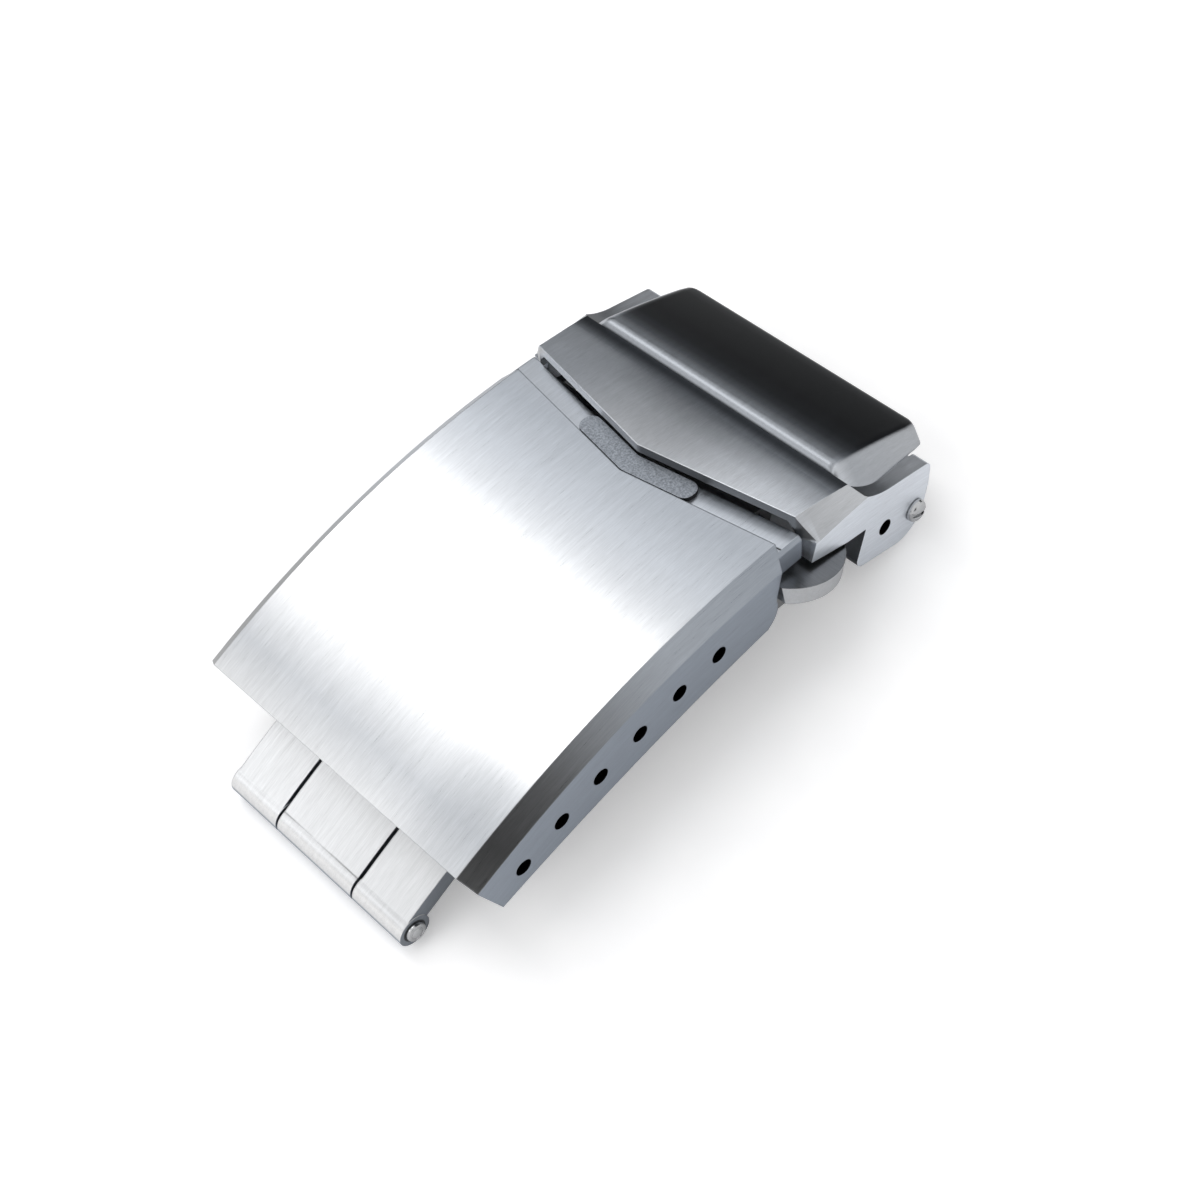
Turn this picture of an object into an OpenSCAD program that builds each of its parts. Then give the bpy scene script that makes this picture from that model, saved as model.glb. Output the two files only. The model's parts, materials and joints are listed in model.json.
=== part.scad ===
// Double lock diver clasp for a watch bracelet, closed.
// The clasp follows one arc round the wrist. A station is a length along the cover's crown, measured from
// the cover's outer end, and r is a radius from the centre of that arc, so a point is at(station, r).
// The outer end is at -X, the bracelet end is at +X and Z points away from the wrist.

/* [Clasp] */
// Outside radius of the arc that the cover follows
crown_r = 50.1; // [46:0.1:56]
// Angle of the cover's outer end from the top of the arc, which levels the two feet
end_angle = -17.28; // [-20:0.02:-14]
// Width over the side walls
clasp_w = 20; // [19.6:0.1:24]
// Thickness of the side walls
wall_t = 1; // [0.8:0.05:1.1]

/* [Cover] */
// Station of the point of the V in the cover's bracelet end
cover_apex_s = 20.84; // [19.9:0.02:21.2]
// How much further the V reaches at the cover's sides
cover_v_depth = 1.51; // [0.8:0.01:1.8]
// Thickness of the cover's plate
cover_t = 1; // [0.7:0.05:1.1]
// Width of the 45 degree chamfer along each side
cover_chamfer = 0.93; // [0.5:0.01:1.1]
// Depth of the side wall at the outer end, from the crown
wall_depth_end = 3.87; // [3.4:0.01:4.2]
// Depth of the side wall at the bracelet end, from the crown
wall_depth_lock = 4.51; // [4.2:0.01:4.8]
// Radius of the side wall's lower edge
wall_edge_r = 107; // [80:1:200]
// Radius of the side wall's corner at the bracelet end
wall_corner_r = 1.3; // [0.8:0.1:1.6]

/* [Adjustment holes] */
// Number of spring bar holes in each side wall
hole_count = 6; // [3:1:6]
// Diameter of a spring bar hole
hole_d = 0.95; // [0.8:0.01:1.1]
// Station of the first hole
first_hole_s = 2.26; // [1.8:0.02:2.6]
// Spacing of the holes along the crown
hole_pitch = 2.96; // [2.6:0.02:3]
// Depth of the holes below the crown
hole_depth = 2.92; // [2.6:0.01:3]

/* [Lip] */
// Step down from the cover's crown to the lip
lip_step = 0.3; // [0.2:0.02:0.4]
// Gap between the lip's sides and the band's front edge
lip_gap = 0.12; // [0.1:0.01:0.4]
// How far the lip's point lies under the band
lip_tuck = 0.08; // [0:0.01:0.1]
// Set back of the lip's sides from the cover's
lip_inset = 0.45; // [0.35:0.01:0.5]
// Depth of the lip's side skirt below the crown
skirt_depth = 1.85; // [1.6:0.01:1.9]
// Half length of the detent bar on the lip
detent_half = 3.9; // [3:0.1:4.6]
// Height of the detent bar over the lip
detent_h = 0.27; // [0.15:0.01:0.3]

/* [Blades] */
// Thickness of the folding blades
blade_t = 1.1; // [0.9:0.02:1.14]
// Depth of the blades' upper face below the crown
blade_depth = 3.7; // [3.68:0.01:3.8]
// Half width of the fork
fork_half = 6.55; // [6:0.05:7]
// Half width of the middle blade
strip_half = 2.85; // [2.4:0.05:3.2]
// Gap at each side of the middle blade in the fork
strip_gap = 0.2; // [0.1:0.01:0.3]
// Station of the blade hinge
blade_hinge_s = -4.16; // [-4.6:0.02:-3.8]
// Radius of the blade hinge's knuckles
knuckle_r = 0.93; // [0.86:0.01:1]
// Height of the knuckles over the blades' upper face
knuckle_rise = 0.03; // [0.02:0.01:0.08]
// Diameter of the hinge pins
pin_d = 0.8; // [0.6:0.02:0.9]
// Radial running clearance of every pin
pin_fit = 0.04; // [0.02:0.01:0.08]
// Station of the hinge between the middle blade and the cover
cover_hinge_s = 19.54; // [19.3:0.02:19.7]
// Radius of that hinge's barrel
barrel_r = 0.85; // [0.75:0.01:0.87]

/* [Flip lock] */
// Station of the point of the V in the band's front edge
band_apex_s = 22.14; // [22.08:0.02:22.5]
// How much further that V reaches at the band's sides
band_v_depth = 1.73; // [1.5:0.01:1.9]
// Station of the line between the band and the grip
grip_s = 27.53; // [27.3:0.01:27.9]
// Height of the band's front edge over the crown
band_rise = 0.8; // [0.75:0.01:1]
// Height of the band's rear over the crown
band_rise_rear = 0.42; // [0.35:0.01:0.5]
// Thickness of the band
band_t = 0.52; // [0.45:0.01:0.55]
// Depth of the arms' upper face below the crown
arm_depth = 0.9; // [0.8:0.01:1]
// Thickness of the web between the arms
web_t = 0.9; // [0.7:0.05:1]
// Diameter of the flip lock's pivot pins
pivot_d = 1; // [0.8:0.05:1.1]
// Diameter of the pivot pins' heads
pivot_head_d = 1.35; // [1.2:0.05:1.6]

/* [Grip] */
// Length of the grip along the crown
grip_length = 7.4; // [6.8:0.05:7.6]
// Height of the grip's front over the crown
grip_rise = 0.75; // [0.65:0.01:0.9]
// Depth of the grip's rear below the crown
grip_fall = 0.08; // [0:0.01:0.2]
// Radius of the grip's crown
grip_crown_r = 60; // [45:1:120]
// Half width of the grip's upper face
grip_top_half = 8; // [7.4:0.05:8.2]
// Half width of the grip at its foot
grip_foot_half = 9.3; // [8.9:0.05:9.5]

/* [Bracelet end] */
// Thickness of the end bracket
bracket_t = 1.15; // [1:0.01:1.2]
// Gap between the end bracket's cheeks and the flip lock's arms
bracket_gap = 0.2; // [0.15:0.01:0.5]
// Thickness of the end bracket's cheeks
cheek_t = 1; // [0.8:0.05:1.1]
// Station of the bracelet's spring bar
bar_s = 30.46; // [30:0.02:30.8]
// Radius at which that spring bar lies, less the crown's
bar_depth = 3.69; // [3.5:0.01:3.8]
// Diameter of the spring bar's hole in each cheek, and of the tool's hole through the arm beside it
bar_d = 0.9; // [0.7:0.02:1]
// Station of the flip lock's pivot
pivot_s = 33.12; // [33:0.02:33.4]
// Depth of the flip lock's pivot below the crown
pivot_depth = 3.81; // [3.7:0.01:3.9]

/* [Push buttons] */
// Radius of a button's half moon
button_r = 3.3; // [3:0.05:3.35]
// Distance from the middle of the clasp to the half moon's centre
button_y = 7.85; // [7.7:0.01:8]
// Station of the half moon's centre
button_s = 24.32; // [24.2:0.01:24.5]
// Depth of the half moon's centre below the crown
button_depth = 2.52; // [2.48:0.01:2.56]
// Thickness of a button
button_t = 1; // [0.8:0.01:1.02]
// Slope of the buttons against the arc
button_slope = 9.5; // [9:0.1:10]
// Travel of a button
button_travel = 0.8; // [0.4:0.05:0.8]

/* [Hidden] */
$fn = 64;

// Facets of the large arcs
arc_fn = 360;
// Length that a cut reaches past what it cuts
past = 1;
// Half of the widest thing to be cut
reach = clasp_w / 2 + 3;

half_w = clasp_w / 2;
inner_half = half_w - wall_t;
bracket_half = inner_half - bracket_gap;
// Ears of the cover's hinge, and the barrel between them
ear_outer = inner_half - 0.1;
ear_inner = ear_outer - 1;
barrel_half = ear_inner - 0.2;
crease_half = half_w - cover_chamfer;
cover_inner_r = crown_r - cover_t;
cover_side_s = cover_apex_s + cover_v_depth;
// Station of the wall's bracelet end at its top and where its corner starts
wall_end_s = cover_side_s - 0.5;
wall_turn_s = wall_end_s - 0.35;
wall_turn_r = crown_r - 2.7;

lip_r = crown_r - lip_step;
lip_half = half_w - lip_inset;
lip_side_s = band_apex_s + band_v_depth - lip_gap;
lip_apex_s = band_apex_s + lip_tuck;

blade_top_r = crown_r - blade_depth;
blade_under_r = blade_top_r - blade_t;
fork_inner = strip_half + strip_gap;
blade_axis_r = blade_top_r - knuckle_r + knuckle_rise;
knuckle_proud = 0.05;
cover_axis_r = blade_top_r + 0.1 + barrel_r;
cross_s0 = 20.3;
cross_s1 = 24.4;
cross_half = bracket_half - cheek_t - 0.1;

arm_r = crown_r - arm_depth;
web_r = arm_r - web_t;
band_front_r = crown_r + band_rise;
band_rear_r = crown_r + band_rise_rear;
band_crease = half_w - 0.95;
band_crown_r = crown_r;
web_end_s = 33;

bracket_top_r = blade_under_r;
bracket_under_r = bracket_top_r - bracket_t;
cheek_inner = bracket_half - cheek_t;
tray_half = bracket_half - 0.1;
tray_inner = cheek_inner + 0.1;
bracket_s0 = 22.4;
// Rivets: the radius of each and the places of a pair across
rivet_r = 0.45;
rivet_inner = 2;
rivet_outer = 5.2;
floor_s1 = 28.5;
bar_r = crown_r - bar_depth;
pivot_r = crown_r - pivot_depth;

button_axis_r = crown_r - button_depth;
nose_inner = 6.5;
housing_half = nose_inner - button_travel - 0.1;

blade_axis = at(blade_hinge_s, blade_axis_r);
cover_axis = at(cover_hinge_s, cover_axis_r);
pivot_axis = at(pivot_s, pivot_r);
bar_axis = at(bar_s, bar_r);
grip_front = at(grip_s + 0.6, crown_r + grip_rise);
grip_rear = at(grip_s + grip_length, crown_r - grip_fall);

// The clasp stands on the blade hinge's knuckles and on the flip lock's two feet
foot = at(33.08, crown_r - 6.05);
x_low = blade_axis[0] - knuckle_r;
x_high = grip_rear[0];
z_low = min(blade_axis[1] - knuckle_r, foot[1]);

function turn(s) = end_angle + s / crown_r * 180 / PI;
function at(s, r) = [r * sin(turn(s)), r * cos(turn(s))];
function arc(c, r, a0, a1, n = 8) = [for (i = [0:n]) c + r * [cos(a0 + (a1 - a0) * i / n), sin(a0 + (a1 - a0) * i / n)]];
// Centre of the arc of radius r that runs over the points p and q
function centre(p, q, r) = (p + q) / 2 + sqrt(r * r - (q - p) * (q - p) / 4) * [(q - p)[1], -(q - p)[0]] / norm(q - p);

// Moves the arc's own frame to where the closed clasp stands
module stand() translate([-(x_low + x_high) / 2, 0, -z_low]) children();

// Turns a (radius, y) profile round the arc from station s0 to s1
module sweep(s0, s1) rotate([90, 0, 0]) rotate([0, 0, 90 - turn(s1)]) rotate_extrude(angle = turn(s1) - turn(s0), $fn = arc_fn) children();

// Extrudes an (x, z) outline across the clasp from y0 to y1
module across(y0, y1) translate([0, y1, 0]) rotate([90, 0, 0]) linear_extrude(y1 - y0) children();

module rod(p, r, y0, y1) across(y0, y1) translate(p) circle(r);

// Local frame with X along the arc and Z outwards
module at_station(s) rotate([0, turn(s), 0]) children();

module both_sides() {
    children();
    mirror([0, 1, 0]) children();
}

module band_profile(r0, r1, half) polygon([[r0, -half], [r1, -half], [r1, half], [r0, half]]);

// Everything past a V with its point at station s and its side points k steps further on
module past_v(s, side_x, side_y, edge_x, r0) at_station(s) translate([0, 0, r0]) linear_extrude(10)
    polygon([
        [0, 0], [side_x, side_y], [edge_x, half_w], [edge_x, reach], [20, reach],
        [20, -reach], [edge_x, -reach], [edge_x, -half_w], [side_x, -side_y]
    ]);

// Everything before such a V
module before_v(s, side_x, side_y, edge_x, r0) at_station(s) translate([0, 0, r0]) linear_extrude(14)
    polygon([
        [0, 0], [side_x, side_y], [edge_x, half_w], [edge_x, reach], [-20, reach],
        [-20, -reach], [edge_x, -reach], [edge_x, -half_w], [side_x, -side_y]
    ]);

// A pin along Y from the middle outwards to y1, with a domed head on top
module headed_pin(p, d, head_d, head_h, y0, y1) {
    ball = (head_d * head_d / 4 + head_h * head_h) / (2 * head_h);
    rod(p, d / 2, y0, y1);
    intersection() {
        translate([p[0], y1 + head_h - ball, p[1]]) sphere(ball, $fn = 48);
        rod(p, head_d / 2 + past, y1, y1 + head_h + past);
    }
}

// Cover: a thin arched shell with deep side walls, stepped down to a lip at the bracelet end
module cover_profile() polygon([
    [crown_r, -crease_half], [crown_r, crease_half], [crown_r - cover_chamfer, half_w],
    [crown_r - 6, half_w], [crown_r - 6, inner_half], [cover_inner_r, inner_half],
    [cover_inner_r, -inner_half], [crown_r - 6, -inner_half], [crown_r - 6, -half_w],
    [crown_r - cover_chamfer, -half_w]
]);

module lip_profile() {
    crease = lip_half - 0.19;
    skirt_r = crown_r - skirt_depth;
    polygon([
        [lip_r, -crease], [lip_r, crease], [lip_r - 0.19, lip_half], [skirt_r, lip_half],
        [skirt_r, inner_half], [cover_inner_r, inner_half], [cover_inner_r, -inner_half],
        [skirt_r, -inner_half], [skirt_r, -lip_half], [lip_r - 0.19, -lip_half], [lip_r, -crease]
    ]);
}

// The region past the side wall's rounded bracelet end
module past_wall_end() {
    low = at(wall_end_s - 1.2, crown_r - wall_depth_lock - 0.12);
    turn_point = at(wall_turn_s, wall_turn_r);
    corner = turn_point + [-wall_corner_r, -0.45];
    across(inner_half - 0.5, reach) polygon(concat(
        [at(wall_end_s + 3, cover_inner_r - 0.1), at(wall_end_s, cover_inner_r - 0.1)],
        arc(corner, wall_corner_r, 15, -50),
        [low, at(wall_end_s - 1.2, crown_r - 7), at(wall_end_s + 3, crown_r - 7)]
    ));
}

// Everything below the side walls' lower edge
module below_walls() across(-reach, reach) difference() {
    translate([-40, 0]) square([80, 100]);
    translate(centre(at(0, crown_r - wall_depth_end), at(20.7, crown_r - wall_depth_lock), wall_edge_r))
        difference() {
            translate([-150, -20]) square([300, 300]);
            circle(wall_edge_r, $fn = arc_fn);
        }
}

module cover_shell() color("gainsboro") stand() difference() {
    union() {
        difference() {
            difference() {
                sweep(0, cover_side_s + 0.5) cover_profile();
                both_sides() past_wall_end();
            }
            below_walls();
            past_v(cover_apex_s, cover_v_depth * (crease_half + 0.03) / 8.9, crease_half + 0.03, cover_v_depth - 0.5, crown_r - 8);
        }
        difference() {
            sweep(cover_apex_s - 0.8, lip_side_s + 0.3) lip_profile();
            past_v(lip_apex_s, lip_side_s - lip_apex_s, 8.9, lip_side_s - lip_apex_s + 0.1, crown_r - 5);
        }
    }
    for (i = [0:hole_count - 1])
        rod(at(first_hole_s + i * hole_pitch, crown_r - hole_depth), hole_d / 2, -reach, reach);
}

module lip_detent_bar() color("darkgray") stand() intersection() {
    k = cover_v_depth / 8.9;
    k_end = (lip_side_s - lip_apex_s) / 8.9;
    bar = lip_apex_s - cover_apex_s;
    sweep(cover_apex_s - 1, lip_side_s + 1) band_profile(lip_r, lip_r + detent_h, half_w);
    at_station(cover_apex_s) linear_extrude(crown_r + 5) offset(r = 0.55, $fn = 32) offset(delta = -0.55)
        polygon([
            [0.06, 0], [0.06 + k * detent_half, detent_half], [bar - 0.05 + k_end * detent_half, detent_half],
            [bar - 0.05, 0], [bar - 0.05 + k_end * detent_half, -detent_half],
            [0.06 + k * detent_half, -detent_half]
        ]);
}

// Bracket welded under the crown, with an ear at each end of the cover's hinge
module cover_hinge_bracket() color("silver") stand() {
    base_r = cover_inner_r - 0.6;
    s0 = cover_hinge_s - 1.2;
    s1 = cover_hinge_s + 0.95;
    difference() {
        union() {
            sweep(s0, s1) band_profile(base_r, cover_inner_r, inner_half);
            both_sides() across(ear_inner, ear_outer) {
                translate(cover_axis) circle(barrel_r + 0.1);
                polygon([
                    cover_axis + [-barrel_r - 0.1, 0], cover_axis + [barrel_r + 0.1, 0],
                    at(s1 - 0.1, base_r + 0.3), at(s0 + 0.1, base_r + 0.3)
                ]);
            }
        }
        rod(cover_axis, pin_d / 2, -reach, reach);
    }
}

module cover_hinge_pin() color("gray") stand() rod(cover_axis, pin_d / 2, -inner_half + 0.05, inner_half - 0.05);

// Catch under the lip, just clear of the button's nose
module cover_catch(side) mirror([0, side, 0]) {
    y0 = 7.15;
    y1 = 7.75;
    difference() {
        intersection() {
            sweep(22.1, 23) band_profile(crown_r - 4, cover_inner_r, half_w);
            translate([-40, y0, 0]) cube([80, y1 - y0, 100]);
        }
        at_button() translate([-10, 0, -10 - 0.9]) cube([20, 20, 10]);
    }
    intersection() {
        sweep(22.1, 23) band_profile(cover_inner_r - 0.4, cover_inner_r, half_w);
        translate([-40, y0 - 1.4, 0]) cube([80, y1 - y0 + 1.4, 100]);
    }
}

module cover_catch_left() color("silver") stand() cover_catch(0);

module cover_catch_right() color("silver") stand() cover_catch(1);

// Middle blade: a strip between the fork's arms that ends in a full width barrel
module middle_blade() color("lightgray") stand() difference() {
    union() {
        sweep(blade_hinge_s, cover_hinge_s - 1.45) band_profile(blade_under_r, blade_top_r, strip_half);
        rod(blade_axis, knuckle_r, -strip_half, strip_half);
        rod(cover_axis, barrel_r, -barrel_half, barrel_half);
        across(0.3 - strip_half, strip_half - 0.3) polygon([
            at(cover_hinge_s - 2.9, blade_top_r - 0.05), cover_axis + [-0.5, 0.6], cover_axis + [0.4, -0.7],
            at(cover_hinge_s - 1.4, blade_under_r + 0.15), at(cover_hinge_s - 2.9, blade_under_r + 0.15)
        ]);
    }
    rod(blade_axis, pin_d / 2 + pin_fit, -reach, reach);
    rod(cover_axis, pin_d / 2 + pin_fit, -reach, reach);
}

// Inner blade: a fork whose two arms carry the outer knuckles
module fork_arm_profile(side) polygon([
    [blade_under_r, side * fork_inner], [blade_top_r, side * fork_inner],
    [blade_top_r, side * fork_half], [blade_under_r, side * fork_half]
]);

module inner_blade() color("lightgray") stand() difference() {
    union() {
        sweep(cross_s0, cross_s1) band_profile(blade_under_r, blade_top_r, cross_half);
        for (side = [-1, 1]) sweep(blade_hinge_s, cross_s0) fork_arm_profile(side);
        both_sides() rod(blade_axis, knuckle_r, fork_inner - knuckle_proud, fork_half + knuckle_proud);
    }
    rod(blade_axis, pin_d / 2, -reach, reach);
    rivet_shanks();
}

module blade_hinge_pin() color("gray") stand() both_sides()
    headed_pin(blade_axis, pin_d, 1.45, 0.35, 0, fork_half + knuckle_proud);

module rivet_shanks() for (y = [-rivet_outer, -rivet_inner, rivet_inner, rivet_outer])
    at_station((bracket_s0 + cross_s1) / 2) translate([0, y, bracket_under_r - past])
        cylinder(r = rivet_r, h = blade_top_r - bracket_under_r + past);

module bracket_rivets() color("gray") stand() {
    intersection() {
        rivet_shanks();
        sweep(cross_s0, cross_s1) band_profile(bracket_under_r, blade_top_r, half_w);
    }
}

// End bracket: a tray riveted to the fork, with two cheeks for the spring bar and the flip lock
module tray_profile() polygon([
    [bracket_under_r, -tray_half], [bracket_top_r + 0.6, -tray_half], [bracket_top_r + 0.6, -tray_inner],
    [bracket_top_r, -tray_inner], [bracket_top_r, tray_inner], [bracket_top_r + 0.6, tray_inner],
    [bracket_top_r + 0.6, tray_half], [bracket_under_r, tray_half]
]);

module end_bracket() color("darkgray") stand() difference() {
    union() {
        sweep(bracket_s0, floor_s1) tray_profile();
        both_sides() {
            across(cheek_inner, bracket_half) union() {
                translate(pivot_axis) circle(1.65);
                polygon([
                    at(floor_s1 - 0.3, bracket_under_r), at(floor_s1 + 0.5, web_r - 0.6), at(floor_s1 + 1, web_r - 0.3),
                    pivot_axis + 1.65 * [sin(turn(pivot_s)), cos(turn(pivot_s))],
                    pivot_axis - 1.65 * [sin(turn(pivot_s)), cos(turn(pivot_s))],
                    at(floor_s1 + 1, bracket_under_r)
                ]);
            }
        }
    }
    rivet_shanks();
    rod(bar_axis, bar_d / 2, -reach, reach);
    rod(pivot_axis, pivot_d / 2, -reach, reach);
}

module flip_lock_pivot(side) mirror([0, side, 0])
    headed_pin(pivot_axis, pivot_d, pivot_head_d, 0.4, cheek_inner, half_w + 0.05);

module flip_lock_pivot_left() color("silver") stand() flip_lock_pivot(0);

module flip_lock_pivot_right() color("silver") stand() flip_lock_pivot(1);

// Local frame of the push buttons: X slopes down towards the bracelet end, Z is out of their upper face
module at_button() {
    p = at(button_s, button_axis_r);
    translate([p[0], 0, p[1]]) rotate([0, turn(button_s) + button_slope, 0]) children();
}

// Housing: a cap on two rails that guide the buttons' slides
module button_housing() color("silver") stand() difference() {
    at_button() difference() {
        translate([-1.95, -housing_half, -4]) cube([3.9, 2 * housing_half, 4.35]);
        translate([-1.4, -4.65, -5]) cube([2.8, 9.3, 5.05]);
        translate([-1, -7, -5]) cube([2, 14, 5.05]);
    }
    sweep(20, 24.6) band_profile(bracket_under_r - 5, blade_top_r, half_w);
    sweep(20, 30) band_profile(bracket_under_r - 5, bracket_top_r, half_w);
}

module push_button(side) mirror([0, side, 0]) {
    at_button() translate([0, 0, -button_t]) {
        linear_extrude(button_t) intersection() {
            translate([0, button_y]) circle(button_r);
            translate([-4, 8.75]) square([6.6, 4]);
        }
        translate([-0.95, 4.5, 0.1]) cube([1.9, 4.3, button_t - 0.1]);
        translate([-1.35, 2.2, 0.1]) cube([2.7, 2.4, button_t - 0.1]);
        translate([-2.1, nose_inner, 0.4]) cube([1.3, 0.55, button_t - 0.4]);
    }
}

module push_button_body(side) difference() {
    push_button(side);
    at_station(wall_end_s - 0.05) translate([-10, -reach, 0]) cube([10, 2 * reach, 100]);
}

module push_button_left() color("dimgray") stand() push_button_body(0);

module push_button_right() color("dimgray") stand() push_button_body(1);

// Coil between the two slides
module button_spring() color("gray") stand() at_button() translate([0, 0, -button_t / 2 + 0.05])
    rotate([90, 0, 0]) difference() {
        cylinder(r = 0.4, h = 4.4, center = true);
        cylinder(r = 0.22, h = 5, center = true);
    }

// Flip lock: a band over the lip, two arms and a web under the grip
module flip_lock_outline() across(-reach, reach) polygon([
    at(21.5, crown_r + 3), at(21.5, arm_r + 0.03), at(24.46, arm_r + 0.03), at(24.18, crown_r - 2.13),
    at(27.13, crown_r - 2.79), at(28.63, crown_r - 2.83), at(28.4, crown_r - 4.96), at(29.69, crown_r - 5.87),
    at(31.97, crown_r - 6.21), at(33.08, crown_r - 6.05), at(34.08, crown_r - 5.34), at(34.52, crown_r - 4.51),
    at(34.1, crown_r - 2.99), at(33.65, crown_r - 0.82), at(33.65, crown_r + 3)
]);

// Hollow under the band and, behind the riser, under the web
module flip_lock_hollow(band_c, riser_s) intersection() {
    difference() {
        sweep(band_apex_s - past, 36) polygon([
            [crown_r - 8, -inner_half], [crown_r - 0.75, -inner_half], [crown_r + 0.6, -inner_half + 1.35],
            [crown_r + 0.6, inner_half - 1.35], [crown_r - 0.75, inner_half], [crown_r - 8, inner_half]
        ]);
        sweep(riser_s, web_end_s) band_profile(web_r, crown_r + 5, reach);
    }
    across(-reach, reach) translate(band_c) circle(band_crown_r - band_t, $fn = arc_fn);
}

module flip_lock_shell() color("lightgray") stand() {
    band_c = centre(at(band_apex_s, band_front_r), at(grip_s, band_rear_r), band_crown_r);
    difference() {
        intersection() {
            sweep(band_apex_s - 0.3, 35.5) polygon([
                [crown_r - 7, -half_w], [arm_r + 0.03, -half_w], [crown_r + 1.2, -half_w + 1.24],
                [crown_r + 1.2, half_w - 1.24], [arm_r + 0.03, half_w], [crown_r - 7, half_w]
            ]);
            flip_lock_outline();
            across(-reach, reach) translate(band_c) circle(band_crown_r, $fn = arc_fn);
        }
        sweep(grip_s, 36) band_profile(arm_r, crown_r + 5, reach);
        flip_lock_hollow(band_c, grip_s - 0.6);
        intersection() {
            before_v(band_apex_s, band_v_depth * band_crease / 8.9, band_crease, 24.5 - band_apex_s, crown_r - 8);
            sweep(18, 26) band_profile(arm_r, crown_r + 5, reach);
        }
        both_sides() rod(bar_axis, bar_d / 2, inner_half - past, reach);
        both_sides() rod(pivot_axis, pivot_d / 2 + pin_fit, inner_half - past, reach);
    }
}

module flip_lock_grip() color("dimgray") stand() {
    grip_c = centre(grip_front, grip_rear, grip_crown_r);
    a0 = atan2(grip_front[0] - grip_c[0], grip_front[1] - grip_c[1]);
    difference() {
        intersection() {
            // Block under its own crown, chamfered along both sides
            translate([grip_c[0], 0, grip_c[1]]) rotate([90, 0, 0]) rotate([0, 0, 90 - a0 - 8])
                rotate_extrude(angle = 10, $fn = arc_fn * 2) polygon([
                    [grip_crown_r, -grip_top_half], [grip_crown_r, grip_top_half],
                    [grip_crown_r - 1.5, grip_foot_half], [grip_crown_r - 4, grip_foot_half],
                    [grip_crown_r - 4, -grip_foot_half], [grip_crown_r - 1.5, -grip_foot_half]
                ]);
            sweep(grip_s, grip_s + grip_length) band_profile(arm_r, crown_r + 2, half_w);
        }
    }
}

inner_blade();
blade_hinge_pin();
end_bracket();
bracket_rivets();
button_housing();
button_spring();
push_button_left();
push_button_right();
flip_lock_pivot_left();
flip_lock_pivot_right();
middle_blade();
cover_hinge_pin();
cover_shell();
lip_detent_bar();
cover_hinge_bracket();
cover_catch_left();
cover_catch_right();
flip_lock_shell();
flip_lock_grip();
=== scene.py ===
import json
import math

import bmesh
import bpy
from mathutils import Matrix, Vector


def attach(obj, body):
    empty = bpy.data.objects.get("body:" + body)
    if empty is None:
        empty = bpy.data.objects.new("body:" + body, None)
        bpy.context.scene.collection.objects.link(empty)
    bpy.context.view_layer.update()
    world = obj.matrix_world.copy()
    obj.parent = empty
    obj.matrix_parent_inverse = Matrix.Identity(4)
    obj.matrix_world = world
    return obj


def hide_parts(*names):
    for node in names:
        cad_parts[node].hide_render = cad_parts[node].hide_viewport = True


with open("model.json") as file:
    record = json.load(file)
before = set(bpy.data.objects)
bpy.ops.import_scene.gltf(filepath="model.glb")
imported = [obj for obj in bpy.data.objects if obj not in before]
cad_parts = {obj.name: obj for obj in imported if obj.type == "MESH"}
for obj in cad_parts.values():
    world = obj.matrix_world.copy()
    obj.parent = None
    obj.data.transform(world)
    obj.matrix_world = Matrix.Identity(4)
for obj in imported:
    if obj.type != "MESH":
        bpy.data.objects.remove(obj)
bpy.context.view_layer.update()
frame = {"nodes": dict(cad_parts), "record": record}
scene = bpy.context.scene
SUBPARTS = frame["record"]["subparts"]
BODIES = frame["record"]["behaviour"]["bodies"]

# The clasp's arc in the row frame, in metres: its centre, the angle of its outer end and its crown's radius
ARC_X, ARC_Z = -0.000637093, -0.0412457025
ARC_START = math.radians(-17.28)
CROWN_R = 0.0501

# From here on, sizes of the clasp are in millimetres. A station is a length along the crown from the arc's outer
# end. A point of the clasp's side is (station, height over the crown).
# The V between the cover's plate and its lip: the station of its point, and its slope
V_APEX = 20.84
V_SLOPE = 1.51 / 8.9
# The cover walls' spring bar holes: the heights and the stations that they lie between
HOLE_RISE = (-3.5, -2.3)
HOLE_ALONG = (1.4, 18.0)
# The blade hinge's axis
HINGE = (-4.16, -4.60)
# The flip lock: half its width outside and between its arms, and its grip's two ends
HALF_W, INNER_HALF = 10.0, 9.0
GRIP_S, GRIP_END = 27.53, 34.93
# The lock's band: the point of its V edge, the height of its upper face there, and how fast that falls behind it
BAND_APEX, BAND_HEIGHT, BAND_FALL = 22.14, 0.8, 0.0705
# The spring bar's bore in the lock's arms and the lock's pivot pins: axis and radius
BAR, BAR_R = (30.46, -3.69), 0.45
PIVOT, PIVOT_R = (33.12, -3.81), 0.5
# Half the width of a cutter that goes through the whole clasp
THROUGH = 12
# The length of arc that a ramp of colour covers
RAMP_LENGTH = 36.0


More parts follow.
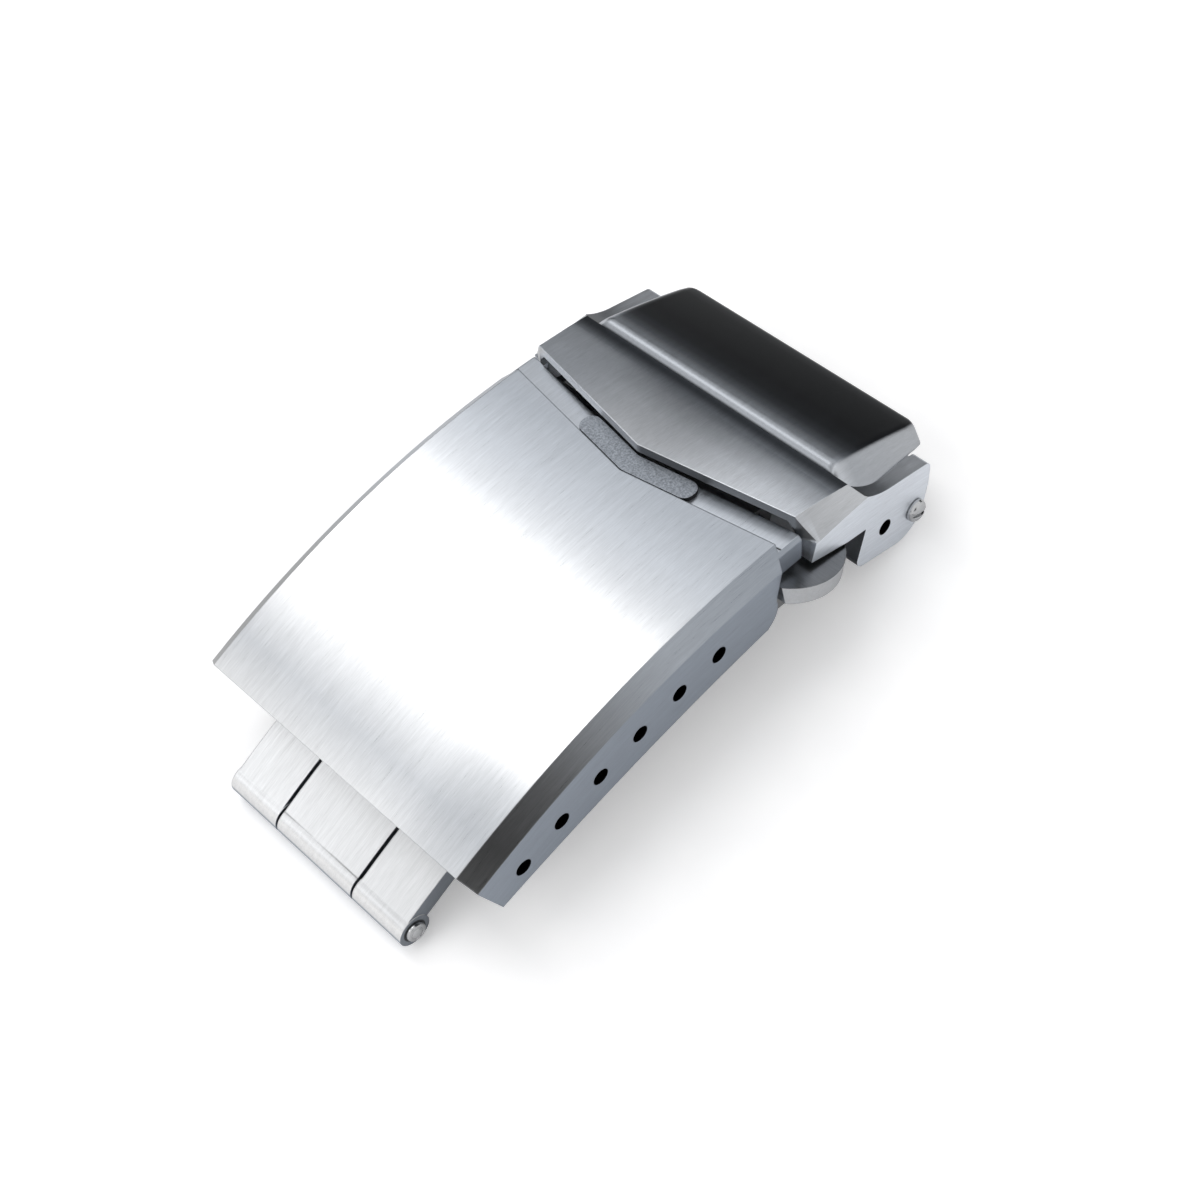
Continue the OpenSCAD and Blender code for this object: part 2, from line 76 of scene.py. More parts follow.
def add_camera():
    """The photograph's view, for a square image."""
    azimuth, elevation, roll = (math.radians(a) for a in (-32.064, 55.480, -16.126))
    target, distance = Vector((0.0016239, -0.0002950, 0.0009334)), 0.104015
    back = Vector((
        math.sin(azimuth) * math.cos(elevation), -math.cos(azimuth) * math.cos(elevation), math.sin(elevation)
    ))
    right = Vector((math.cos(azimuth), math.sin(azimuth), 0))
    up = back.cross(right)
    tilted_right = right * math.cos(roll) + up * math.sin(roll)
    tilted_up = up * math.cos(roll) - right * math.sin(roll)
    data = bpy.data.cameras.new("camera")
    data.lens, data.sensor_width = 59.0793, 36
    data.clip_start, data.clip_end = 0.005, 20
    camera = bpy.data.objects.new("camera", data)
    turn = Matrix((tilted_right, tilted_up, back)).transposed()
    camera.matrix_world = Matrix.Translation(target + back * distance) @ turn.to_4x4()
    scene.collection.objects.link(camera)
    scene.camera = camera


class Tree:
    """Small helpers that build the node tree of a material or of the world."""

    def __init__(self, owner):
        owner.use_nodes = True
        self.nodes, self.links = owner.node_tree.nodes, owner.node_tree.links

    def add(self, kind, **settings):
        node = self.nodes.new(kind)
        for key, value in settings.items():
            setattr(node, key, value)
        return node

    def feed(self, socket, value):
        if isinstance(value, bpy.types.NodeSocket):
            self.links.new(value, socket)
        else:
            socket.default_value = value

    def math(self, operation, a, b=0.0):
        node = self.add("ShaderNodeMath", operation=operation)
        self.feed(node.inputs[0], a)
        self.feed(node.inputs[1], b)
        return node.outputs[0]

    def product(self, first, *others):
        for value in others:
            first = self.math("MULTIPLY", first, value)
        return first

    def length(self, a, b):
        """The length of a vector from its two parts."""
        squares = self.math("ADD", self.math("MULTIPLY", a, a), self.math("MULTIPLY", b, b))
        return self.math("SQRT", squares)

    def step(self, value, low, high):
        """A smooth change from 0 at low to 1 at high; high may be the smaller number."""
        node = self.add("ShaderNodeMapRange", interpolation_type="SMOOTHSTEP")
        for name, number in (("Value", value), ("From Min", low), ("From Max", high)):
            self.feed(node.inputs[name], number)
        return node.outputs["Result"]

    def between(self, value, ends, soft):
        """1 between two numbers and 0 beyond them, with a soft change inside each."""
        low, high = ends
        return self.product(self.step(value, low, low + soft), self.step(value, high, high - soft))

    def ramp(self, value, stops):
        node = self.add("ShaderNodeValToRGB")
        elements = node.color_ramp.elements
        while len(elements) < len(stops):
            elements.new(0.5)
        for element, (position, colour) in zip(elements, sorted(stops)):
            element.position = position
            element.color = (*colour, 1)
        self.feed(node.inputs[0], value)
        return node.outputs[0]

    def mix(self, factor, a, b):
        node = self.add("ShaderNodeMix", data_type="RGBA")
        self.feed(node.inputs[0], factor)
        for socket, value in ((node.inputs[6], a), (node.inputs[7], b)):
            self.feed(socket, (*value, 1) if isinstance(value, tuple) else value)
        return node.outputs[2]

    def combine(self, x, y, z):
        node = self.add("ShaderNodeCombineXYZ")
        for socket, value in zip(node.inputs, (x, y, z)):
            self.feed(socket, value)
        return node.outputs[0]

    def split(self, vector):
        node = self.add("ShaderNodeSeparateXYZ")
        self.feed(node.inputs[0], vector)
        return node.outputs

    def scale(self, colour, factor):
        node = self.add("ShaderNodeVectorMath", operation="SCALE")
        self.feed(node.inputs[0], colour)
        self.feed(node.inputs["Scale"], factor)
        return node.outputs[0]

    def noise(self, vector, scale, detail, rough):
        node = self.add("ShaderNodeTexNoise")
        for name, value in (("Vector", vector), ("Scale", scale), ("Detail", detail), ("Roughness", rough)):
            self.feed(node.inputs[name], value)
        return node.outputs["Fac"]

    def bump(self, height, strength, distance, normal=None):
        node = self.add("ShaderNodeBump")
        self.feed(node.inputs["Strength"], strength)
        self.feed(node.inputs["Distance"], distance)
        self.feed(node.inputs["Height"], height)
        if normal:
            self.feed(node.inputs["Normal"], normal)
        return node.outputs[0]


def new_shader(name):
    """A material with its node tree and its shader."""
    material = bpy.data.materials.new(name)
    tree = Tree(material)
    return material, tree, tree.nodes["Principled BSDF"]


def grey(value, blue=0.0):
    """A neutral linear colour, or one with a little blue in it."""
    return (value * (1 - blue), value * (1 - blue * 0.35), value * (1 + blue * 0.6))


def tones(*stops):
    """A ramp's stops from (share of the arc, value, blue)."""
    return [(share, grey(value, blue)) for share, value, blue in stops]


def flat(value, blue=0.02):
    return tones((0.0, value, blue), (1.0, value, blue))


# Painted shade inside holes and bores, and a painted shadow for thin lines at steps and round a pin's head
PAINTED_HOLE_SHADE = grey(0.01)
PAINTED_SHADOW_LINE = grey(0.05, 0.05)


class Place:
    """Where a point lies on the clasp, in millimetres, and which way its face looks."""

    def __init__(self, tree):
        where = tree.add("ShaderNodeTexCoord")
        point = tree.split(where.outputs["Object"])
        facing = tree.split(where.outputs["Normal"])
        x = tree.math("SUBTRACT", point[0], ARC_X)
        z = tree.math("SUBTRACT", point[2], ARC_Z)
        angle = tree.math("SUBTRACT", tree.math("ARCTAN2", x, z), ARC_START)
        radius = tree.length(x, z)
        self.along = tree.math("MULTIPLY", angle, CROWN_R * 1000)
        self.rise = tree.math("MULTIPLY", tree.math("SUBTRACT", radius, CROWN_R), 1000)
        self.across = tree.math("MULTIPLY", point[1], 1000)
        self.off_centre = tree.math("ABSOLUTE", self.across)
        self.sideways = tree.math("ABSOLUTE", facing[1])
        self.upward = facing[2]
        turned = tree.math(
            "SUBTRACT", tree.math("MULTIPLY", facing[2], x), tree.math("MULTIPLY", facing[0], z)
        )
        self.forward = tree.math("DIVIDE", turned, radius)

    def distance(self, tree, axis):
        """How far a point of the side is from an axis that runs across."""
        return tree.length(
            tree.math("SUBTRACT", self.along, axis[0]), tree.math("SUBTRACT", self.rise, axis[1])
        )


def grain_of(tree, place, direction):
    """Fine brushing lines that run along the clasp or across it."""
    run, cross = (place.along, place.across) if direction == "along" else (place.across, place.along)
    run_scale, cross_scale = 0.35, 9.0
    grain = tree.combine(
        tree.math("MULTIPLY", run, run_scale), tree.math("MULTIPLY", cross, cross_scale),
        tree.math("MULTIPLY", place.rise, cross_scale),
    )
    fine = tree.noise(grain, scale=2.6, detail=4.0, rough=0.7)
    broad = tree.noise(grain, scale=0.5, detail=2.0, rough=0.5)
    return tree.math("ADD", tree.math("MULTIPLY", fine, 0.7), tree.math("MULTIPLY", broad, 0.3))


def steel(name, top, side, chamfer=None, rough=0.3, streak=1.0, edge=0.00006, direction="along",
          painted_light=None):
    """Brushed stainless steel.

    top, chamfer and side are ramps of colour along the arc; besides the steel's own tone they carry painted
    reflections and painted shade. streak is the strength of the brushing lines, edge the rounding of the edges
    in metres, and the last argument a function that paints highlights, shade and reflections over the colour.
    """
    side_facing, chamfer_facing = (0.82, 0.94), (0.3, 0.5)
    streak_depth, rough_depth, side_rough, bump_strength, bump_depth = 0.36, 0.09, 0.4, 0.35, 0.00001
    material, tree, shader = new_shader(name)
    place = Place(tree)
    share = tree.math("DIVIDE", place.along, RAMP_LENGTH)
    lines = grain_of(tree, place, direction)
    on_side = tree.step(place.sideways, *side_facing)
    colour = tree.ramp(share, top)
    if chamfer:
        colour = tree.mix(tree.step(place.sideways, *chamfer_facing), colour, tree.ramp(share, chamfer))
    colour = tree.mix(on_side, colour, tree.ramp(share, side))
    if painted_light:
        colour = painted_light(tree, place, colour)
    depth = streak_depth * streak
    shade = tree.math("ADD", 1.0 - depth, tree.math("MULTIPLY", lines, 2 * depth))
    roughness = tree.math("ADD", rough - rough_depth, tree.math("MULTIPLY", lines, 2 * rough_depth))
    roughness = tree.math("ADD", roughness, tree.math("MULTIPLY", on_side, side_rough - rough))
    bevel = tree.add("ShaderNodeBevel", samples=6)
    bevel.inputs["Radius"].default_value = edge
    tree.feed(shader.inputs["Base Color"], tree.scale(colour, shade))
    tree.feed(shader.inputs["Metallic"], 1.0)
    tree.feed(shader.inputs["Roughness"], roughness)
    tree.feed(shader.inputs["Normal"], tree.bump(lines, bump_strength, bump_depth * streak, bevel.outputs[0]))
    return material


def cover_painted_light(tree, place, colour):
    """Painted shade: a dark near corner, the lip darker past the V and most on its far half, a shadow line at
    the step, dark holes.
    """
    level = tree.step(place.sideways, 0.6, 0.4)
    # Painted shade over the near corner of the top
    corner = tree.product(
        tree.step(place.across, -3.0, -8.0), tree.step(place.along, 7.0, 4.0), level, 0.5
    )
    colour = tree.mix(corner, colour, grey(0.3, 0.08))
    # Past the V the lip gets painted shade, darker on its far half
    reach = tree.math("MULTIPLY", place.off_centre, V_SLOPE)
    past = tree.math("SUBTRACT", tree.math("SUBTRACT", place.along, V_APEX), reach)
    lip = tree.mix(tree.step(place.across, -3.0, 3.0), grey(0.6, 0.09), grey(0.5, 0.09))
    colour = tree.mix(tree.product(tree.step(past, -0.02, 0.02), level), colour, lip)
    # A thin painted shadow on the lip at the foot of the step
    line = tree.product(tree.step(past, -0.02, 0.03), tree.step(past, 0.16, 0.06), level)
    colour = tree.mix(line, colour, PAINTED_SHADOW_LINE)
    # Painted shade inside the spring bar holes of the walls
    wall_inside, wall_outside = 8.9, 9.1
    hole = tree.product(
        tree.between(place.rise, HOLE_RISE, 0.1), tree.between(place.along, HOLE_ALONG, 0.2), level,
        tree.step(place.off_centre, wall_inside, wall_outside),
    )
    return tree.mix(hole, colour, PAINTED_HOLE_SHADE)


def lock_painted_light(tree, place, colour):
    """Painted light and shade: a dark bore, the band's top lit on its near half and shaded on its far side, and
    a painted reflection on its V edge.
    """
    # Painted shade inside the spring bar's bore
    bore = tree.step(place.distance(tree, BAR), BAR_R + 0.05, BAR_R + 0.02)
    colour = tree.mix(bore, colour, PAINTED_HOLE_SHADE)
    # Painted light on the near half of the band's top
    top = tree.product(tree.step(place.sideways, 0.35, 0.25), tree.step(place.along, 27.0, 26.0))
    lit = tree.math("ADD", 0.82, tree.math("MULTIPLY", tree.step(place.across, 0.0, -7.5), 0.58))
    colour = tree.mix(top, colour, tree.scale(colour, lit))
    # Painted shade on the far side of the band's top
    painted_far_shade = tree.product(top, tree.step(place.across, 1.0, 7.0))
    colour = tree.mix(painted_far_shade, colour, grey(0.42, 0.09))
    # A painted reflection on the V edge's face: dark on its near half, light on its far half
    painted_v_reflection = tree.product(
        tree.step(place.forward, 0.5, 0.75), tree.step(place.along, 25.5, 25.0),
        tree.step(place.rise, -0.9, -0.7),
    )
    half = tree.mix(tree.step(place.across, -0.3, 0.3), grey(0.16, 0.04), grey(0.55, 0.02))
    return tree.mix(painted_v_reflection, colour, half)


def blade_painted_light(tree, place, colour):
    """Painted shade and highlights: darker towards the near side, knuckles lit above and shaded in front, and a
    shadow ring round the pin.
    """
    # Painted shade growing towards the near side
    colour = tree.scale(colour, tree.math("ADD", 1.0, tree.math("MULTIPLY", place.across, 0.028)))
    # A painted highlight on the knuckles' upper faces, then painted shade on their fronts
    colour = tree.mix(tree.step(place.forward, 0.1, 0.4), colour, grey(0.8))
    colour = tree.mix(tree.step(place.forward, 0.72, 0.86), colour, grey(0.36, 0.15))
    # A painted shadow ring round the pin's head
    ring = tree.product(
        tree.step(place.distance(tree, HINGE), 0.76, 0.68), tree.step(place.sideways, 0.8, 0.9)
    )
    return tree.mix(ring, colour, PAINTED_SHADOW_LINE)


def button_painted_light(tree, place, colour):
    """A painted highlight on the rim round the half moon's upper face, whose dark tone is painted shade."""
    return tree.mix(tree.step(place.upward, 0.8, 0.5), colour, grey(0.5, 0.03))


def blasted(name, value):
    """Matt, grit blasted steel, its upward faces speckled and the rest in near black painted shade."""
    rough, rough_spread, bump_strength, bump_depth = 0.55, 0.2, 0.6, 0.00004
    material, tree, shader = new_shader(name)
    place = Place(tree)
    grit = tree.noise(tree.combine(place.along, place.across, place.rise), scale=9.0, detail=3.0, rough=0.7)
    speckle = tree.ramp(grit, tones((0.3, value * 0.55, 0.12), (0.7, value * 1.3, 0.1)))
    # Painted shade, near black, on faces that do not look up
    painted_side_shade = tree.step(place.upward, 0.85, 0.6)
    tree.feed(shader.inputs["Base Color"], tree.mix(painted_side_shade, speckle, grey(0.04, 0.05)))
    tree.feed(shader.inputs["Metallic"], 1.0)
    tree.feed(shader.inputs["Roughness"], tree.math("ADD", rough, tree.math("MULTIPLY", grit, rough_spread)))
    tree.feed(shader.inputs["Normal"], tree.bump(grit, bump_strength, bump_depth))
    return material


def dress():
    """Gives every CAD node its finish, and returns the finishes by slot."""
    finishes = {
        "cover_steel": steel(
            "cover_brushed",
            # The cover's top: the steel's tone with painted bluish shade near the outer end and towards the V
            top=tones(
                (0.0, 0.62, 0.02), (0.06, 0.50, 0.05), (0.11, 0.56, 0.03), (0.2, 0.62, 0.0), (0.36, 0.62, 0.0),
                (0.44, 0.54, 0.05), (0.5, 0.55, 0.08), (0.58, 0.48, 0.1),
            ),
            # The chamfer: a painted dark reflection at the outer end, lighter along the arc
            chamfer=tones(
                (0.0, 0.28, 0.02), (0.06, 0.2, 0.02), (0.17, 0.22, 0.04), (0.28, 0.28, 0.08), (0.4, 0.38, 0.1),
                (0.6, 0.33, 0.12),
            ),
            # The walls' darker, bluer tone is painted shade
            side=flat(0.38, 0.15), edge=0.0001, painted_light=cover_painted_light,
        ),
        "lock_steel": steel(
            "lock_brushed",
            # The lock's top: a painted reflection, bright at the band's front and darker behind, then painted
            # shade, near black, where the arms meet the grip, lighter again on the web
            top=tones(
                (0.6, 0.68, 0.05), (0.68, 0.57, 0.07), (0.72, 0.38, 0.09), (0.74, 0.2, 0.12),
                (0.756, 0.06, 0.15), (0.78, 0.06, 0.12), (0.83, 0.35, 0.08), (0.9, 0.6, 0.07),
            ),
            chamfer=tones((0.6, 0.4, 0.04), (0.8, 0.55, 0.04)),
            side=flat(0.8, 0.07), rough=0.4, edge=0.00008, painted_light=lock_painted_light,
        ),
        "grip_steel": steel(
            "grip_brushed",
            # The grip's top: a painted highlight along its rounded front, then a painted dark reflection, near
            # black, over the rest
            top=tones(
                (0.765, 0.24, 0.08), (0.775, 0.3, 0.08), (0.786, 0.5, 0.1), (0.8, 0.22, 0.12),
                (0.815, 0.09, 0.14), (0.833, 0.04, 0.15), (0.86, 0.025, 0.15),
            ),
            chamfer=tones((0.765, 0.6, 0.06), (0.8, 0.4, 0.07), (1.0, 0.46, 0.05)),
            side=flat(0.5, 0.06), rough=0.38, edge=0.00012,
        ),
        "blade_steel": steel(
            "blade_brushed", top=flat(0.55), side=flat(0.33, 0.12), rough=0.34, edge=0.0001,
            painted_light=blade_painted_light,
        ),
        "inner_steel": steel("inner_steel", top=flat(0.4), side=flat(0.36), rough=0.38, streak=0.6),
        "button_steel": steel(
            # The button's dark top is painted shade
            "button_steel", top=flat(0.22, 0.04), side=flat(0.5, 0.03), direction="across",
            painted_light=button_painted_light,
        ),
        "pin_steel": steel("pin_steel", top=flat(0.5), side=flat(0.5), rough=0.2, streak=0.3),
        "spring_steel": steel("spring_steel", top=flat(0.5), side=flat(0.5), rough=0.25, streak=0.3),
        "sanded_steel": blasted("sanded_steel", 0.36),
    }
    for part in SUBPARTS:
        slots = frame["nodes"][part["node"]].data.materials
        for index in range(len(slots)):
            slots[index] = finishes[part["material_slot"]]
    return finishes


def at(station, y, height):
    """A point of the row frame from a station, a place across and a height over the crown."""
    angle = ARC_START + station / (CROWN_R * 1000)
    radius = CROWN_R + height / 1000
    return Vector((ARC_X + radius * math.sin(angle), y / 1000, ARC_Z + radius * math.cos(angle)))


def off_station(station, x, y, height):
    """A point reached along the straight line that touches the crown at a station."""
    angle = ARC_START + station / (CROWN_R * 1000)
    return at(station, y, height) + Vector((math.cos(angle), 0, -math.sin(angle))) * (x / 1000)


def arc(centre, radius, start, end, steps):
    """Points of an arc, with its angles in degrees."""
    angles = (math.radians(start + (end - start) * i / steps) for i in range(steps + 1))
    return [(centre[0] + radius * math.cos(a), centre[1] + radius * math.sin(a)) for a in angles]


def circle(centre, radius, points=48):
    return arc(centre, radius, 0, 360 - 360 / points, points - 1)


def mirrored(half):
    """A section from its half: the points (across, other) and then their mirror images, in reverse."""
    return half + [(-y, other) for y, other in reversed(half)]


def solid(name, rings):
    """A closed mesh through rings of points, with a face on each end."""
    points = [point for ring in rings for point in ring]
    size = len(rings[0])
    faces = []
    for first in range(0, len(points) - size, size):
        second = first + size
        faces += [(first + j, first + (j + 1) % size, second + (j + 1) % size, second + j) for j in range(size)]
    faces += [tuple(range(size)), tuple(range(len(points) - size, len(points)))]
    mesh = bpy.data.meshes.new(name)
    mesh.from_pydata(points, [], faces)
    shape = bmesh.new()
    shape.from_mesh(mesh)
    bmesh.ops.recalc_face_normals(shape, faces=shape.faces)
    shape.to_mesh(mesh)
    shape.free()
    piece = bpy.data.objects.new(name, mesh)
    scene.collection.objects.link(piece)
    return piece


def prism(name, outline, *ends):
    """A side outline drawn out between two places across."""
    return solid(name, [[at(s, y, h) for s, h in outline] for y in sorted(ends)])


def bore(axis, radius):
    return prism("hole", circle(axis, radius), -THROUGH, THROUGH)


def bake(piece):
    """Applies a piece's modifiers to its mesh."""
    graph = bpy.context.evaluated_depsgraph_get()
    mesh = bpy.data.meshes.new_from_object(piece.evaluated_get(graph))
    piece.modifiers.clear()
    piece.data = mesh


def carve(piece, cutters, operation="DIFFERENCE"):
    """Cuts other solids out of a piece, or joins them to it, and removes them."""
    for cutter in cutters:
        change = piece.modifiers.new("carve", "BOOLEAN")
        change.operation, change.object, change.solver = operation, cutter, "EXACT"
    bake(piece)
    for cutter in cutters:
        bpy.data.objects.remove(cutter)
    return piece


def finish(piece, node, finishes, width=0.05, sharp=30):
    """Rounds a piece's edges, shades it smooth below an angle, and puts it in a node's place with its steel."""
    part = next(p for p in SUBPARTS if p["node"] == node)
    body = next(b for b, nodes in BODIES.items() if node in nodes)
    if width:
        edge, least_angle = piece.modifiers.new("edges", "BEVEL"), 25
        edge.width, edge.segments, edge.limit_method = width / 1000, 2, "ANGLE"
        edge.angle_limit = math.radians(least_angle)
        bake(piece)
    mesh = piece.data
    mesh.shade_smooth()
    mesh.set_sharp_from_angle(angle=math.radians(sharp))
    mesh.materials.clear()
    mesh.materials.append(finishes[part["material_slot"]])
    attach(piece, body)
    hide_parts(node)


def band_top(station):
    """Height of the band's upper face over the crown."""
    return BAND_HEIGHT - BAND_FALL * (station - BAND_APEX)


def chamfer_cutter(side):
    """What is cut from one side of the band: a slope that narrows towards the grip."""
    first, spacing, beyond = 21.32, 0.48, 0.2
    low_edge, rise_from, rise_slope = -0.95, 24.5, 0.155
    width, narrow_from, narrow_slope = 1.0, 24.3, 0.058
    rings = []
    for s in (first + spacing * i for i in range(17)):
        low = low_edge + max(0.0, s - rise_from) * rise_slope
        high = band_top(s)
        crease = HALF_W - width + max(0.0, s - narrow_from) * narrow_slope
        rise, run = beyond * (high - low), beyond * (HALF_W - crease)
        corners = [(HALF_W + run, low - rise), (crease - run, high + rise), (HALF_W + 2, high + rise)]
        rings.append([at(s, side * y, h) for y, h in corners])
    return solid("chamfer", rings)


def make_shell(finishes):
    """The band with its V edge and side chamfers, the hollow curves down to the arms, and the web."""
    band_start, spacing, band_bottom = 21.8, 0.48, -0.87
    band = [(s, band_top(s)) for s in (band_start + spacing * i for i in range(13))]
    hollow_curve = arc((30.4, 3.63), 4.5, 240, 270, 8)
    web_corner = arc((33.15, -1.42), 0.55, 80, 15, 5) + [(33.93, -2.5)]
    heel = arc((32.1, -3.83), 1.87, 5, -90, 12)
    foot = arc((29.0, -4.83), 0.7, 265, 188, 5)
    notch = [(28.63, -2.78), (27.13, -2.72)]
    toe = [(24.18, -2.13), (24.46, band_bottom), (band_start, band_bottom)]
    outline = band + hollow_curve + web_corner + heel + foot + notch + toe
    shell = prism("flip_lock_shell_piece", outline, -HALF_W, HALF_W)

    chamfers = [chamfer_cutter(side) for side in (-1, 1)]
    ceiling, ceiling_half, wall_half, wall_top, open_end = 0.52, 8.6, 8.98, -0.35, -3
    under_band = solid("under_band", [
        [at(s, y, h) for y, h in mirrored([
            (-wall_half, open_end), (-wall_half, wall_top), (-ceiling_half, band_top(s) - ceiling)
        ])]
        for s in (21.2, 22.5, 23.8, 25.1, 26.4, 26.93)
    ])
    between_arms = prism("hollow", [
        (21, -8), (21, -1.2), (26.9, -1.2), (26.9, -1.8), (33, -1.8), (33, 2), (36, 2), (36, -8)
    ], -INNER_HALF, INNER_HALF)
    v_half = [(9.05, 1.76), (HALF_W, 2.36), (THROUGH, 2.36), (THROUGH, -5)]
    before_v = solid("before_v", [
        [off_station(BAND_APEX, x, y, h) for y, x in [(0, 0)] + mirrored(v_half)] for h in (-0.92, 3)
    ])
    bores = [bore(BAR, BAR_R), bore(PIVOT, PIVOT_R + 0.04)]
    carve(shell, chamfers + [under_band, between_arms, before_v] + bores)
    finish(shell, "flip_lock_shell", finishes, sharp=10)


def drop(radius, past):
    """How far a quarter round has fallen at a distance past its start."""
    return radius - math.sqrt(max(0.0, radius ** 2 - past ** 2)) if past > 0 else 0.0


def make_grip(finishes):
    """A solid block: crowned along its length, with rounded edges and a slope down each side."""
    front_r, rear_r, side_r, corner_r = 0.65, 0.6, 0.8, 0.9
    slope_h, top_half, foot_half, bottom, least = 1.5, 8.0, 9.3, -0.9, 0.01
    front_h, fall, belly = 0.75, 0.83, 0.076
    lean = math.degrees(math.atan2(foot_half - top_half, slope_h))
    tangent = side_r * math.tan(math.radians(90 - lean) / 2)

    def top(s):
        share = (s - GRIP_S - front_r) / (GRIP_END - GRIP_S - front_r)
        crown = front_h - fall * share - belly * share * (1 - share)
        return crown - drop(front_r, GRIP_S + front_r - s) - drop(rear_r, s - (GRIP_END - rear_r))

    quarter = [math.radians(90 * i / 8) for i in range(1, 9)]
    stations = [GRIP_S + 0.05] + [GRIP_S + 0.07 + front_r * (1 - math.cos(a)) for a in quarter]
    stations += [stations[-1] + (GRIP_END - rear_r - stations[-1]) * i / 10 for i in range(1, 11)]
    stations += [GRIP_END - rear_r + rear_r * math.sin(a) for a in quarter[:-1]]
    rings = []
    for s in stations:
        high, inset = top(s), drop(corner_r, s - (GRIP_END - corner_r))
        half = arc((top_half - tangent - inset, high - side_r), side_r, 90, lean, 6)
        slope_end = max(high - slope_h, bottom + least)
        foot = min(foot_half, top_half + (high - bottom) * (foot_half - top_half) / slope_h) - inset
        rings.append([at(s, y, h) for y, h in mirrored(half + [(foot, slope_end), (foot, bottom)])])
    finish(solid("flip_lock_grip_piece", rings), "flip_lock_grip", finishes, width=0.0)


def make_bracket(finishes):
    """The tray under the fork, and a cheek inside each arm for the spring bar and the pivot."""
    start, length, steps = 22.4, 6.1, 8
    section = mirrored([(-8.7, -5.95), (-8.7, -4.2), (-7.9, -4.2), (-7.9, -4.8)])
    tray = solid("end_bracket_piece", [
        [at(start + length * i / steps, y, h) for y, h in section] for i in range(steps + 1)
    ])
    cheek = [(28.2, -5.9), (29.0, -2.4), (29.5, -2.1)] + arc(PIVOT, 0.8, 80, -80, 10) + [(29.5, -5.25)]
    cheeks = [prism("cheek", cheek, side * 7.82, side * 8.8) for side in (-1, 1)]
    carve(tray, cheeks, "UNION")
    carve(tray, [bore(BAR, BAR_R)])
    finish(tray, "end_bracket", finishes)


def make_pivots(finishes):
    """Stub pins with a slot across their domed heads."""
    shoulder, slot_bottom, slot_half, slot_reach = 10.03, 10.27, 0.14, 2
    profile = [
        (PIVOT_R, 7.8), (PIVOT_R, shoulder), (0.675, shoulder), (0.675, 10.16), (0.62, 10.3), (0.5, 10.4),
        (0.3, 10.47), (0.1, 10.49),
    ]
    corners = ((-1, -1), (1, -1), (1, 1), (-1, 1))
    section = [(PIVOT[0] + x * slot_reach, PIVOT[1] + z * slot_half) for x, z in corners]
    for side, node in ((-1, "flip_lock_pivot_right"), (1, "flip_lock_pivot_left")):
        rings = [[at(s, side * y, h) for s, h in circle(PIVOT, r)] for r, y in profile]
        slot = prism("slot", section, side * slot_bottom, side * THROUGH)
        finish(carve(solid(node + "_piece", rings), [slot]), node, finishes, width=0.02)


def make_blade_pin(finishes):
    """The blade hinge's pin, with a boss on each domed head."""
    head = [
        (0.08, 6.92), (0.2, 6.9), (0.3, 6.86), (0.37, 6.81), (0.42, 6.85), (0.5, 6.84), (0.57, 6.8),
        (0.61, 6.72), (0.61, 6.61), (0.4, 6.61),
    ]
    profile = [(r, -y) for r, y in head] + [(r, y) for r, y in reversed(head)]
    rings = [[at(s, y, h) for s, h in circle(HINGE, r)] for r, y in profile]
    finish(solid("blade_hinge_pin_piece", rings), "blade_hinge_pin", finishes, width=0.0)


def sheet(name, material, width, height):
    """A flat sheet of the stage."""
    w, h = width / 2, height / 2
    mesh = bpy.data.meshes.new(name)
    mesh.from_pydata([(-w, -h, 0), (w, -h, 0), (w, h, 0), (-w, h, 0)], [], [(0, 1, 2, 3)])
    mesh.materials.append(material)
    piece = bpy.data.objects.new(name, mesh)
    scene.collection.objects.link(piece)
    return piece


def add_floor():
    """White paper that glows a little for the camera alone."""
    size, below, glow = 6.0, 0.00002, 0.24
    material, tree, shader = new_shader("paper_floor")
    where = tree.add("ShaderNodeTexCoord")
    grain = tree.noise(where.outputs["Object"], scale=400.0, detail=2.0, rough=0.5)
    paper = tree.ramp(grain, [(0.3, (0.93, 0.93, 0.94)), (0.7, (0.96, 0.96, 0.965))])
    path = tree.add("ShaderNodeLightPath")
    tree.feed(shader.inputs["Base Color"], paper)
    tree.feed(shader.inputs["Roughness"], 0.9)
    tree.feed(shader.inputs["Emission Color"], (1, 1, 1, 1))
    tree.feed(shader.inputs["Emission Strength"], tree.math("MULTIPLY", path.outputs["Is Camera Ray"], glow))
    sheet("floor", material, size, size).location.z = -below


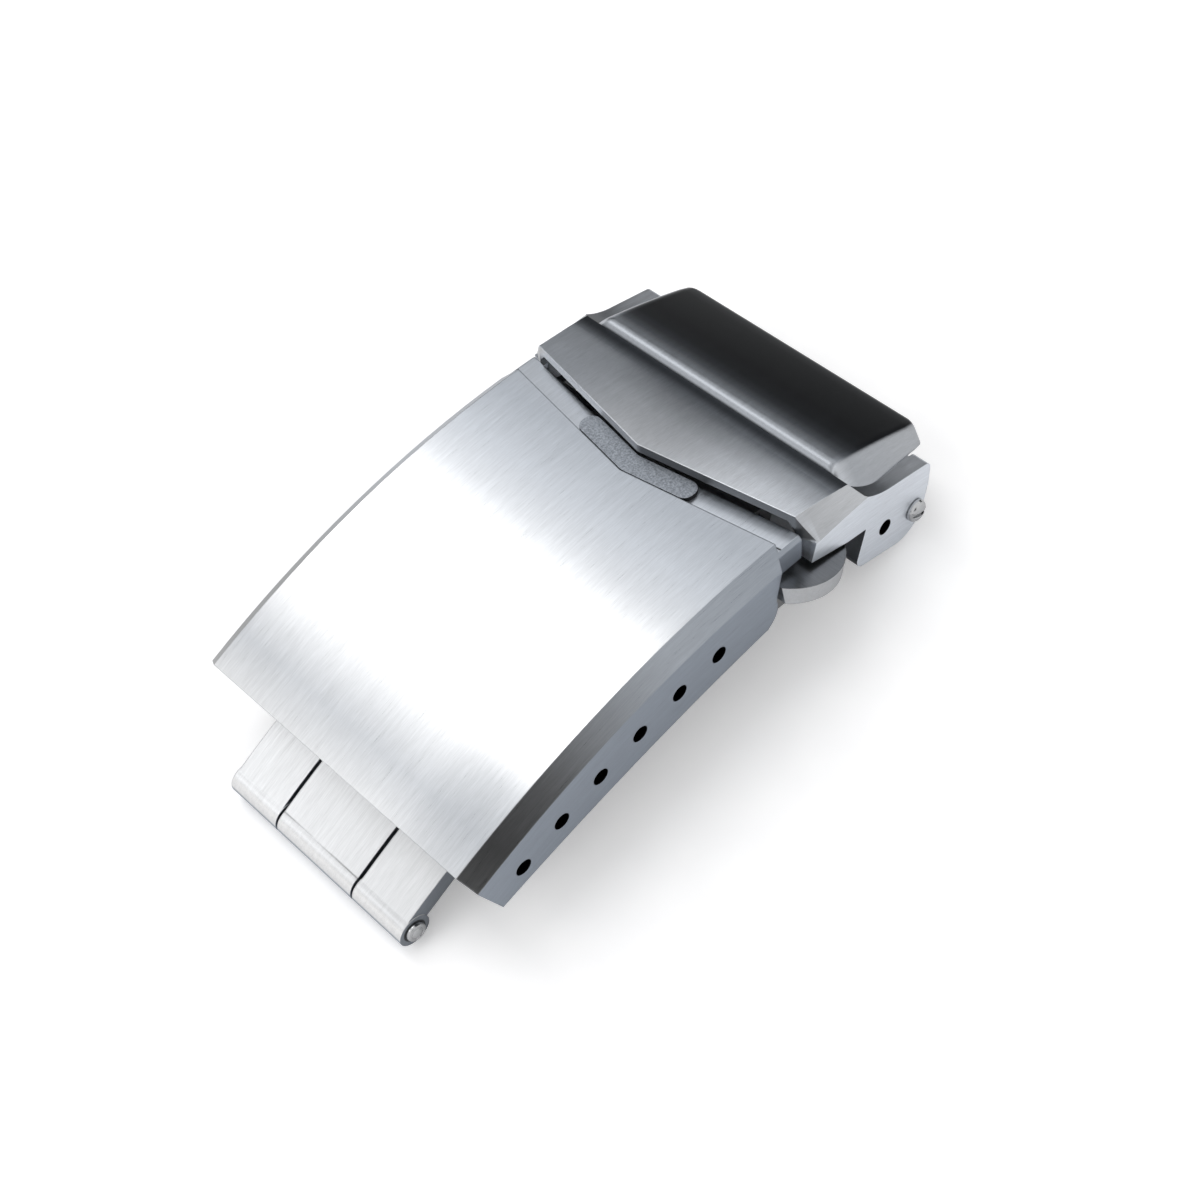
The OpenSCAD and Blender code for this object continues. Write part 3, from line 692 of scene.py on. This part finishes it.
def add_world():
    """A white studio, brighter where it is seen, reflected or shone through than where it lights."""
    world = bpy.data.worlds.new("studio")
    scene.world = world
    tree = Tree(world)
    background = tree.nodes["Background"]
    path = tree.add("ShaderNodeLightPath")
    seen = path.outputs["Is Camera Ray"]
    for name in ("Is Glossy Ray", "Is Transmission Ray"):
        seen = tree.math("MAXIMUM", seen, path.outputs[name])
    strength = tree.add("ShaderNodeMapRange")
    for name, value in (("Value", seen), ("To Min", 0.68), ("To Max", 1.0)):
        tree.feed(strength.inputs[name], value)
    tree.feed(background.inputs["Color"], (1, 1, 1, 1))
    tree.feed(background.inputs["Strength"], strength.outputs["Result"])


def aim(obj, direction, distance):
    """Puts a lamp or a card at a distance in a direction, turned to the clasp."""
    position, clasp = Vector(direction).normalized() * distance, Vector((0, 0, 0.004))
    obj.location = position
    obj.rotation_euler = (position - clasp).to_track_quat("Z", "Y").to_euler()


def add_lamp(name, direction, distance, width, length, power):
    data = bpy.data.lights.new(name, "AREA")
    data.shape, data.size, data.size_y, data.energy = "RECTANGLE", width, length, power
    lamp = bpy.data.objects.new(name, data)
    aim(lamp, direction, distance)
    scene.collection.objects.link(lamp)


def add_card(name, direction, distance, width, height):
    """A black card beside the camera's view, seen only in the metal's reflections."""
    material, tree, shader = new_shader(name)
    tree.feed(shader.inputs["Base Color"], (0.01, 0.01, 0.012, 1))
    tree.feed(shader.inputs["Roughness"], 1.0)
    card = sheet(name, material, width, height)
    aim(card, direction, distance)
    for visible in ("visible_camera", "visible_diffuse", "visible_shadow", "visible_transmission"):
        setattr(card, visible, False)


add_camera()
steels = dress()
make_shell(steels)
make_grip(steels)
make_bracket(steels)
make_pivots(steels)
make_blade_pin(steels)
add_floor()
add_world()
add_lamp("overhead", (0.06, 0.48, 0.87), 0.6, 0.22, 0.55, 0.95)
add_lamp("left", (-0.8, 0.35, 0.9), 0.6, 0.3, 0.3, 0.45)
add_card("right_card", (0.85, 0.48, 0.22), 0.4, 0.7, 0.26)
add_card("front_card", (-0.25, -0.85, 0.42), 0.3, 0.16, 0.2)

scene.view_settings.view_transform = "Standard"
